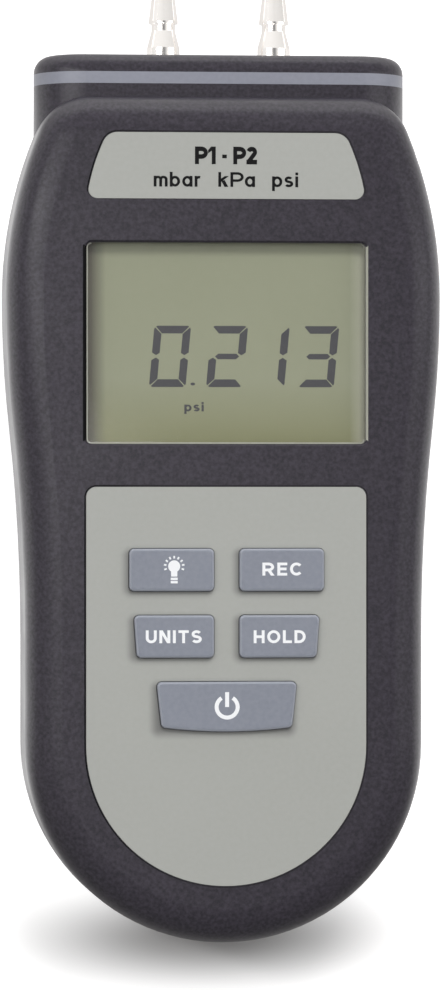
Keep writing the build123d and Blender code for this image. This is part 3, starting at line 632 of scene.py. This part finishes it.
def past(tree, place, middle, half):
    """Return how far a place lies outside a box."""
    steps = ("SUBTRACT", middle), ("ABSOLUTE", None), ("SUBTRACT", half), ("MAXIMUM", (0, 0, 0))
    for operation, value in (*steps, ("LENGTH", None)):
        node = tree.nodes.new("ShaderNodeVectorMath")
        node.operation = operation
        wire(tree, place, node.inputs[0])
        if value is not None:
            node.inputs[1].default_value = value
        place = node.outputs[0]
    return node.outputs["Value"]


panel_light = 1.0
for key in ("key_light", "key_rec", "key_units", "key_hold", "key_power"):
    low_corner, high_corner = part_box(key)
    half = (high_corner - low_corner) / 2
    half -= Vector((1, 1, 0)) * (flange_wide + shade_start)
    outside = past(panel_tree, panel_place, (low_corner + high_corner) / 2 + shade_shift, half)
    shade = spread(panel_tree, outside, 0, shade_reach)
    shade.node.interpolation_type = "SMOOTHSTEP"
    panel_light = math_of(panel_tree, "MINIMUM", panel_light, shade)
lay_over(panel_finish, panel_light, tone_low=srgb(118, 118, 116))
nodes["keypad_overlay"].data.materials[0] = panel_finish
print("panel finish has", len(panel_tree.nodes), "nodes")

# %% [markdown]
# What is printed on the meter is ink of a thickness that can be seen only at its edges. Each
# print is a flat curve, filled, given a hair of thickness and made a mesh, because ink drawn in
# a material would need a picture or a forest of nodes. Its finish is the recipe once more.

# %% Ink finishes
segment_tones = (50, 48, 54), (47, 46, 52), (56, 54, 60)
legend_tones = (244, 245, 247), (238, 239, 242), (248, 248, 249)
plate_ink_tones = (12, 12, 13), (10, 10, 11), (18, 18, 19)
segment_finish = finish_of(
    "display ink", segment_tones, 0.45, 0.55, grains=1600.0, share=0.4, bump=0.02
)
legend_finish = finish_of("white legend ink", legend_tones, 0.45, 0.55, bump=0.02)
plate_ink_finish = finish_of(
    "black plate ink", plate_ink_tones, 0.5, 0.6, bump=0.02, Specular_IOR_Level=0.15
)
print("inks", segment_finish.name, legend_finish.name, plate_ink_finish.name)

# %% Flat printed shapes
print_thick = 0.02 * mm
stroke_step = 0.005 * mm        # strokes that cross differ by this, so no two faces coincide


def flat_piece(name, shapes, height, finish, body, slot_name):
    """Print flat shapes at a height as one piece. A shape is its outline and then its holes."""
    bpy.ops.object.select_all(action="DESELECT")
    for order, shape in enumerate(shapes):
        thick = print_thick + stroke_step * (order % 4)
        curve = bpy.data.curves.new(name, "CURVE")
        curve.dimensions = "2D"
        curve.fill_mode = "BOTH"
        curve.extrude = thick / 2
        for outline in shape:
            spline = curve.splines.new("POLY")
            spline.points.add(len(outline) - 1)
            for point, (x, y) in zip(spline.points, outline):
                point.co = (x, y, 0, 1)
            spline.use_cyclic_u = True
        made = bpy.data.objects.new(name, curve)
        scene.collection.objects.link(made)
        made.location.z = height + thick / 2
        made.select_set(True)
        bpy.context.view_layer.objects.active = made
    bpy.ops.object.convert(target="MESH")
    bpy.ops.object.join()
    bpy.ops.object.transform_apply(location=True, rotation=True, scale=True)
    piece = bpy.context.object
    piece.name = name
    piece.data.materials.clear()
    piece.data.materials.append(finish)
    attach(piece, body)
    return piece


print("prints are", print_thick / mm, "mm thick")

# %% [markdown]
# The figures of the display are seven-segment ones that lean to the right. Each bar is a flat
# piece with mitred ends that lies on the display glass, under the clear window. One function
# knows the outline of three bars and mirrors them into seven, and the figures ask for the bars
# that they light.

# %% Outline of the seven bars
digit_tall = 10.85 * mm
digit_wide = 6.5 * mm
bar_wide = 1.36 * mm
bar_gap = 0.16 * mm
digit_lean = math.tan(math.radians(5.2))


def digit_bars(lit):
    """Return the outlines of the lit bars of one figure, with its lower left corner at zero."""
    w, h, b, g = digit_wide, digit_tall, bar_wide, bar_gap / 2
    half = h / 2
    cut = 0.35 * b              # outer corners are clipped
    top = [(cut + g, h), (w - cut - g, h), (w - g - cut / 2, h - cut / 3)]
    top += [(w - b - g, h - b), (b + g, h - b), (g + cut / 2, h - cut / 3)]
    side = [(0, h - cut - g), (cut / 3, h - cut / 2 - g), (b, h - b - g)]
    side += [(b, half + 0.45 * b), (0.55 * b, half + g + 0.1 * b), (0, half + 0.5 * b)]
    tip, edge, thin = 0.75 * b + g, 1.15 * b + g, 0.36 * b
    middle = [(tip, half), (edge, half + thin), (w - edge, half + thin)]
    middle += [(w - tip, half), (w - edge, half - thin), (edge, half - thin)]
    bars = {"a": top, "f": side, "g": middle}
    bars["d"] = [(x, h - y) for x, y in top]
    bars["e"] = [(x, h - y) for x, y in side]
    bars["b"] = [(w - x, y) for x, y in side]
    bars["c"] = [(w - x, h - y) for x, y in side]
    return [[(x + digit_lean * y, y) for x, y in bars[letter]] for letter in lit]


print("bars of a figure", len(digit_bars("abcdefg")))

# %% Figures of the display
on_display = (lcd_high.z, segment_finish, "housing", "lcd")
digit_low = 19.42 * mm
figures = (
    ("digit_first", "abcdef", -13.54 * mm),
    ("digit_second", "abdeg", -3.39 * mm),
    ("digit_third", "bc", 4.03 * mm),
    ("digit_fourth", "abcdg", 12.87 * mm),
)
for name, lit, left in figures:
    bars = [[[(x + left, y + digit_low) for x, y in bar]] for bar in digit_bars(lit)]
    flat_piece(name, bars, *on_display)


def arc(x, y, across, up, start, stop, steps=16):
    """Return points along an oval arc, with its angles in degrees."""
    turn = [math.radians(start + (stop - start) * k / steps) for k in range(steps + 1)]
    return [(x + across * math.cos(a), y + up * math.sin(a)) for a in turn]


decimal_point = arc(-5.75 * mm, 19.95 * mm, 0.42 * mm, 0.26 * mm, 0, 345, 23)
flat_piece("decimal_point", [[decimal_point]], *on_display)
print("figures", len(figures))

# %% [markdown]
# The legends are set in a plain bold sans serif. Blender brings one font of its own, whose
# letters are too light and too wide for these keys, so the few letters that the meter needs are
# drawn as strokes of one width: straight bars, and bands along arcs. Letters are drawn 1 high,
# then the whole word is scaled to the box that it fills on the meter.

# %% Strokes of a letter


def band(points, wide):
    """Return the outline of a line of one width along points."""
    left, right = [], []
    for k, (x, y) in enumerate(points):
        x0, y0 = points[max(k - 1, 0)]
        x1, y1 = points[min(k + 1, len(points) - 1)]
        long = math.hypot(x1 - x0, y1 - y0)
        across, up = -(y1 - y0) / long * wide / 2, (x1 - x0) / long * wide / 2
        left.append((x + across, y + up))
        right.append((x - across, y - up))
    return left + right[::-1]


def block(x0, y0, x1, y1):
    """Return the outline of an upright box."""
    return [(x0, y0), (x1, y0), (x1, y1), (x0, y1)]


def ring(x, y, across, up, wide):
    """Return a closed oval with its hole."""
    outer = arc(x, y, across, up, 0, 350, 35)
    inner = arc(x, y, across - wide, up - wide, 0, 350, 35)
    return [outer, inner]


print("a bar has", len(block(0, 0, 1, 1)), "corners")

# %% Capitals and figures


def capital(letter, w):
    """Return the shapes of a capital or figure 1 high, for strokes of width w, and its width."""
    m = w / 2
    low_bowl = 0.43
    stem, far_stem = [block(0, 0, w, 1)], [block(0.8 - w, 0, 0.8, 1)]
    bowl = [(m, 1 - m), (0.42, 1 - m)]
    bowl += arc(0.42, (1 - m + low_bowl) / 2, 0.3, (1 - m - low_bowl) / 2, 90, -90)[1:]
    bowl += [(m, low_bowl)]
    leg = [(0.32, low_bowl), (0.32 + 1.2 * w, low_bowl), (0.86, 0), (0.86 - 1.25 * w, 0)]
    bars = [[block(0, y - m, x, y + m)] for x, y in ((0.7, m), (0.65, 0.51), (0.7, 1 - m))]
    cup = [(m, 1), (m, 0.38), *arc(0.4, 0.38, 0.4 - m, 0.38 - m, 180, 360)[1:], (0.8 - m, 1)]
    slant = [(0, 1), (1.15 * w, 1), (0.8, 0), (0.8 - 1.15 * w, 0)]
    high = arc(0.38, 0.5 + (0.5 - m) / 2, 0.36 - m, (0.5 - m) / 2, 28, 235, 18)
    low = arc(0.38, 0.5 - (0.5 - m) / 2, 0.38 - m, (0.5 - m) / 2, 55, -152, 18)
    belly = [(m, 1 - m), (0.34, 1 - m)]
    belly += arc(0.34, 0.5, 0.48 - m, 0.5 - m, 90, -90, 20)[1:] + [(m, m)]
    flag = [(0, 0.8), (0, 0.62), (0.26, 0.78), (0.26, 1), (0.2, 1)]
    neck = [*arc(0.35, 0.7, 0.35 - m, 0.3 - m, 165, -38, 18), (0.1, 0.1)]
    drawn = {
        "R": ([stem, [band(bowl, w)], [leg]], 0.86),
        "P": ([stem, [band(bowl, w)]], 0.74),
        "E": ([stem, *bars], 0.7),
        "C": ([[band(arc(0.46, 0.5, 0.46 - m, 0.5 - m, 42, 318, 28), w)]], 0.86),
        "U": ([[band(cup, w)]], 0.8),
        "N": ([stem, far_stem, [slant]], 0.8),
        "I": ([stem], w),
        "T": ([[block(0, 1 - w, 0.76, 1)], [block(0.38 - m, 0, 0.38 + m, 1)]], 0.76),
        "S": ([[band(high + low, w)]], 0.76),
        "H": ([stem, far_stem, [block(0, 0.5 - m, 0.8, 0.5 + m)]], 0.8),
        "O": ([ring(0.48, 0.5, 0.48, 0.5, w)], 0.96),
        "L": ([stem, [block(0, 0, 0.66, w)]], 0.66),
        "D": ([stem, [band(belly, w)]], 0.82),
        "1": ([[block(0.24, 0, 0.24 + w, 1)], [flag]], 0.24 + w),
        "2": ([[band(neck, w)], [block(0, 0, 0.7, w)]], 0.7),
        "-": ([[block(0, 0.34, 0.3, 0.34 + w * 0.8)]], 0.3),
    }
    return drawn[letter]


print("a capital R has", len(capital("R", 0.2)[0]), "strokes")

# %% Small letters


def small(letter, w):
    """Return the shapes of a small letter, for strokes of width w, and its width."""
    m = w / 2
    tall = 0.73
    half = tall / 2
    stem, tall_stem = [block(0, 0, w, tall)], [block(0, 0, w, 1)]
    round_part = ring(0.31, half, 0.31, half, w)

    def arch(x0, x1, stop=0):
        """Return the arch of an m or r from one stem to the next."""
        path = [(x0, 0.3)] + arc((x0 + x1) / 2, tall - 0.24, (x1 - x0) / 2, 0.24 - m, 180, stop)
        return [band(path + ([(x1, 0)] if stop == 0 else []), w)]

    high_arm = [(0, 0.2), (0, 0.2 + 1.4 * w), (0.4, tall), (0.4 + 1.4 * w, tall)]
    low_arm = [(0.18, 0.4), (0.18 + 1.2 * w, 0.46), (0.6, 0), (0.6 - 1.3 * w, 0)]
    high = arc(0.26, half + (half - m) / 2, 0.25 - m, (half - m) / 2, 30, 235)
    low = arc(0.26, half - (half - m) / 2, 0.27 - m, (half - m) / 2, 55, -150)
    drawn = {
        "m": ([stem, arch(m, 0.42), arch(0.42, 0.84 - m)], 0.84),
        "b": ([tall_stem, round_part], 0.62),
        "p": ([[block(0, -0.27, w, tall)], round_part], 0.62),
        "a": ([round_part, [block(0.62 - w, 0, 0.62, tall)]], 0.62),
        "r": ([stem, arch(m, 0.46, 70)], 0.4),
        "k": ([tall_stem, [high_arm], [low_arm]], 0.6),
        "s": ([[band(high + low, w)]], 0.53),
        "i": ([stem, [block(0, 1 - 1.1 * w, w, 1)]], w),
    }
    return drawn[letter]


print("a small b has", len(small("b", 0.13)[0]), "strokes")

# %% Words
space_wide = 0.3


def word_piece(name, text, box, height, finish, body, slot_name, weight, apart):
    """Print a word that fills a box, given as left, low, right and high."""
    shapes, pen = [], 0.0
    for letter in text:
        if letter == " ":
            pen += space_wide
            continue
        drawn, wide = (small if letter.islower() else capital)(letter, weight)
        for shape in drawn:
            shapes.append([[(x + pen, y) for x, y in outline] for outline in shape])
        pen += wide + apart
    every = [point for shape in shapes for outline in shape for point in outline]
    low_x, high_x = min(x for x, y in every), max(x for x, y in every)
    low_y, high_y = min(y for x, y in every), max(y for x, y in every)
    left, low, right, high = box
    grow_x, grow_y = (right - left) / (high_x - low_x), (high - low) / (high_y - low_y)
    placed = [
        [[(left + (x - low_x) * grow_x, low + (y - low_y) * grow_y) for x, y in o] for o in shape]
        for shape in shapes
    ]
    return flat_piece(name, placed, height, finish, body, slot_name)


psi_box = (-7.25 * mm, 14.65 * mm, -3.8 * mm, 16.75 * mm)
unit_word = word_piece("unit_word", "psi", psi_box, *on_display, weight=0.19, apart=0.16)
print("unit word of", len(unit_word.data.vertices), "points")

# %% Key legends in words
key_words = (
    ("legend_rec", "REC", (6.24, -13.95, 13.14, -11.66), "rec_key"),
    ("legend_units", "UNITS", (-14.37, -25.84, -4.49, -23.57), "units_key"),
    ("legend_hold", "HOLD", (4.7, -25.88, 13.91, -23.6), "hold_key"),
)
for name, text, box, body in key_words:
    on_key = ([v * mm for v in box], key_top, legend_finish, body, "key")
    word_piece(name, text, *on_key, weight=0.21, apart=0.19)
print("words", [text for name, text, box, body in key_words])

# %% [markdown]
# The other two keys carry signs. The light key has a bulb with short rays, and the power key
# has a broken ring with a bar in its gap. Both are drawn from the same bands and bars.

# %% Sign of the light key
bulb_x, bulb_y, bulb_r = -9.36 * mm, -12.3 * mm, 1.06 * mm
neck_half, neck_low = 0.55 * mm, -14.1 * mm
foot_half, foot_tall = 0.62 * mm, 0.42 * mm
ray_count, ray_step = 9, 27         # degrees from one ray to the next
ray_near, ray_far, ray_wide = 1.38 * mm, 1.84 * mm, 0.3 * mm
bulb = arc(bulb_x, bulb_y, bulb_r, bulb_r, -58, 238, 28)
bulb += [(bulb_x - neck_half, neck_low), (bulb_x + neck_half, neck_low)]
foot = [
    block(bulb_x - foot_half, low, bulb_x + foot_half, low + foot_tall)
    for low in (-14.72 * mm, -15.3 * mm)
]
rays = []
for k in range(ray_count):
    angle = math.radians(90 + (k - ray_count // 2) * ray_step)
    c, d = math.cos(angle), math.sin(angle)
    ends = [(bulb_x + far * c, bulb_y + far * d) for far in (ray_near, ray_far)]
    rays.append(band(ends, ray_wide))
light_sign = [[outline] for outline in (bulb, *foot, *rays)]
flat_piece("legend_bulb", light_sign, key_top, legend_finish, "light_key", "key")
print("rays", len(rays))

# %% Sign of the power key
power_y, power_r, power_wide = -37.12 * mm, 1.86 * mm, 0.7 * mm
power_high = -34.5 * mm
power_ring = band(arc(0, power_y, power_r, power_r, 122, 418, 44), power_wide)
power_bar = block(-power_wide / 2, power_y, power_wide / 2, power_high)
power_sign = [[power_ring], [power_bar]]
flat_piece("legend_power", power_sign, key_top, legend_finish, "power_key", "key")
print("power sign", round(2 * (power_r + power_wide / 2) / mm, 2), "mm across")

# %% [markdown]
# The nameplate of the real meter carries words that stay off this one. It gets plain ones of
# the same size and weight that any meter of the kind could have: which port is which, and the
# units that it reads.

# %% Nameplate words
plate_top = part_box("nameplate")[1].z
plate_words = (
    ("plate_ports", "P1 - P2", (-5.6, 58.7, 5.4, 61.8), 0.26),
    ("plate_units", "mbar   kPa   psi", (-12.9, 54.0, 12.7, 57.3), 0.17),
)
for name, text, box, weight in plate_words:
    on_plate = ([v * mm for v in box], plate_top, plate_ink_finish, "housing", "plate")
    word_piece(name, text, *on_plate, weight=weight, apart=0.13)
print("nameplate at", round(plate_top / mm, 2), "mm")

# %% [markdown]
# The panel and the nameplate lie in recesses, and the joint round each shows as a thin line. It
# is black at the left, where it lies in shade, and hardly darker than the housing elsewhere.
# The gap of the solids is only a hair wide, so the line is a dark band on the edge of the
# recess: the joint with painted shade, black at the left and paler to the right. Its outline is
# read from the top face of the plate: an edge that only one triangle uses lies on the border.

# %% Borders of the plates
face_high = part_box("front_shell")[1].z
line_in, line_out = 0.13, 0.34      # the dark band, in millimetres beyond the border


def border_of(name):
    """Return the outer border of a flat node's top face as points in order, in millimetres."""
    mesh = nodes[name].data
    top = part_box(name)[1].z
    spot = [(round(v.co.x / mm, 3), round(v.co.y / mm, 3)) for v in mesh.vertices]
    sides = set()
    for face in mesh.polygons:
        if all(abs(mesh.vertices[i].co.z - top) < 0.001 * mm for i in face.vertices):
            corners = [spot[i] for i in face.vertices]
            sides.update(zip(corners, corners[1:] + corners[:1]))
    after = {a: b for a, b in sides if (b, a) not in sides}
    loops = []
    while after:
        point = next(iter(after))
        loop = []
        while point in after:
            loop.append(point)
            point = after.pop(point)
        loops.append(loop)
    return max(loops, key=lambda loop: max(x for x, y in loop) - min(x for x, y in loop))


def grown(loop, by):
    """Move each point of a border outwards, in millimetres, and return metres."""
    moved = []
    for k, (x, y) in enumerate(loop):
        x0, y0 = loop[k - 1]
        x1, y1 = loop[(k + 1) % len(loop)]
        long = math.hypot(x1 - x0, y1 - y0)
        moved.append(((x + (y1 - y0) / long * by) * mm, (y - (x1 - x0) / long * by) * mm))
    return moved


print("face at", round(face_high / mm, 3), "mm")

# %% Joint round the panel
joint_shade_tones = (10, 10, 11), (8, 8, 9), (14, 14, 15)
joint_shade_finish = finish_of("dark joint shade", joint_shade_tones, 0.6, 0.7, bump=0.02, Specular_IOR_Level=0.1)
# Painted shade: black at the left, paler towards the right, where less shade falls.
shade_black_x, shade_pale_x = -24.5 * mm, -10 * mm
joint_shade_ramp = along(joint_shade_finish, "X", shade_black_x, shade_pale_x)
lay_over(joint_shade_finish, joint_shade_ramp, tone_high=srgb(45, 43, 47))
panel_border = border_of("keypad_overlay")
panel_shade_line = [grown(panel_border, line_out), grown(panel_border, line_in)]
flat_piece("panel_joint_shade", [panel_shade_line], face_high, joint_shade_finish, "housing", "housing")
print("panel border", len(panel_border), "points")

# %% Joint round the nameplate
plate_border = border_of("nameplate")
plate_low = min(y for x, y in plate_border) + 1.2       # the lower side has no dark line
first = next(k for k, (x, y) in enumerate(plate_border) if plate_border[k - 1][1] < plate_low <= y)
plate_border = plate_border[first:] + plate_border[:first]
above = [k for k, (x, y) in enumerate(plate_border) if y >= plate_low]
plate_outer, plate_inner = grown(plate_border, line_out), grown(plate_border, line_in)
plate_shade_line = [plate_outer[k] for k in above] + [plate_inner[k] for k in reversed(above)]
# The same painted shade of the joint runs round the nameplate, but not along its lower side.
flat_piece("plate_joint_shade", [[plate_shade_line]], face_high, joint_shade_finish, "housing", "housing")
print("nameplate border", len(above), "of", len(plate_border), "points")

# %% [markdown]
# The clear window is set below the face, and its cut edge shows as a thin bright line along the
# opening. The upper side lies in shadow, and at the right the bevel takes the light instead. A
# pale flat frame with rounded corners that lies on the window and touches the walls of the opening
# paints that line as a highlight: a plane whose corners are bevelled, inset, opened, freed of those
# two straight sides, and extruded up.

# %% Planes and their faces


def new_plane(name, place, wide, tall):
    """Add a plane at its size and place and return it."""
    bpy.ops.object.select_all(action="DESELECT")
    bpy.ops.mesh.primitive_plane_add(size=1, location=place)
    plane = bpy.context.object
    plane.name = name
    plane.scale = (wide, tall, 1)
    bpy.ops.object.transform_apply(location=True, rotation=True, scale=True)
    return plane


def turn_outwards():
    """Point all faces of the active piece outwards."""
    bpy.ops.object.mode_set(mode="EDIT")
    bpy.ops.mesh.select_all(action="SELECT")
    bpy.ops.mesh.normals_make_consistent(inside=False)
    bpy.ops.object.mode_set(mode="OBJECT")


print("functions", new_plane.__name__, "and", turn_outwards.__name__)

# %% Polished edge of the window
lens_low, lens_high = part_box("display_window")
middle_y = (lens_low.y + lens_high.y) / 2
open_x, open_y = 49.4 * mm, 35.5 * mm       # the opening in the face
open_r = 0.85 * mm
edge_wide, edge_tall = 0.24 * mm, 0.3 * mm
near_side = 0.6 * mm            # a face this near to a side belongs to it
past_corner = 0.9 * mm          # and one this far from the ends of the side is straight
window_edge_highlight = new_plane("window_edge_highlight", (0, middle_y, lens_high.z), open_x, open_y)
bpy.ops.object.mode_set(mode="EDIT")
bpy.ops.mesh.select_all(action="SELECT")
bpy.ops.mesh.bevel(offset=open_r, segments=5, affect="VERTICES")
bpy.ops.mesh.select_all(action="SELECT")
bpy.ops.mesh.inset(thickness=edge_wide)
bpy.ops.mesh.delete(type="FACE")
bpy.ops.object.mode_set(mode="OBJECT")
for face in window_edge_highlight.data.polygons:
    x, y = face.center.x, face.center.y - middle_y
    on_top = y > open_y / 2 - near_side and abs(x) < open_x / 2 - past_corner
    on_right = x > open_x / 2 - near_side and abs(y) < open_y / 2 - past_corner
    face.select = on_top or on_right
bpy.ops.object.mode_set(mode="EDIT")
bpy.ops.mesh.delete(type="FACE")
bpy.ops.mesh.select_all(action="SELECT")
bpy.ops.mesh.extrude_region_move(TRANSFORM_OT_translate={"value": (0, 0, edge_tall)})
bpy.ops.object.mode_set(mode="OBJECT")
turn_outwards()
# Painted highlight: the frame is pale where the cut edge of the window catches the light.
edge_highlight_tones = (168, 168, 156), (160, 160, 148), (178, 178, 166)
edge_highlight_finish = finish_of("clear edge highlight", edge_highlight_tones, 0.2, 0.3, bump=0.02)
window_edge_highlight.data.materials.append(edge_highlight_finish)
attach(window_edge_highlight, "housing")
print("window edge", len(window_edge_highlight.data.polygons), "faces")

# %% [markdown]
# The bevel of the opening shows two more lines: a black painted shade at the left, where the edge
# of the window lies in deep shade, and a painted highlight at the right, which faces the lamp. Each
# is a thin strip that lies on the bevel: a plane beside it, whose inner edge is extruded down the slope.

# %% Lines on the bevel of the opening
lens_rim = 2.0 * mm             # how far the window reaches behind the face
bevel_wide = 0.35 * mm
bevel_out = lens_high.x - lens_rim + bevel_wide
strip_thick = 0.02 * mm
strip_lift = 0.012 * mm         # clear of the face


def bevel_strip(name, side, flat, finish):
    """Lay a strip on the bevel at the left (-1) or right (1), with a flat part beside it."""
    place = (side * (bevel_out + flat / 2), middle_y, face_high + strip_lift)
    strip = new_plane(name, place, flat, open_y - past_corner)
    for part in (*strip.data.polygons, *strip.data.edges):
        part.select = False
    for corner in strip.data.vertices:
        corner.select = abs(corner.co.x) < bevel_out + flat / 2
    bpy.ops.object.mode_set(mode="EDIT")
    down = (-side * bevel_wide, 0, -bevel_wide)
    bpy.ops.mesh.extrude_region_move(TRANSFORM_OT_translate={"value": down})
    bpy.ops.object.mode_set(mode="OBJECT")
    solid = strip.modifiers.new("thickness", "SOLIDIFY")
    solid.thickness = strip_thick
    solid.offset = 0
    bpy.ops.object.modifier_apply(modifier="thickness")
    turn_outwards()
    strip.data.materials.append(finish)
    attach(strip, "housing")
    return strip


# Painted shade on the left of the bevel and a painted highlight on its right.
bevel_shade_line = bevel_strip("opening_shade", -1, 0.3 * mm, joint_shade_finish)
bevel_highlight_line = bevel_strip("opening_highlight", 1, 0.05 * mm, edge_highlight_finish)
print("strips", [(s.name, len(s.data.polygons)) for s in (bevel_shade_line, bevel_highlight_line)])
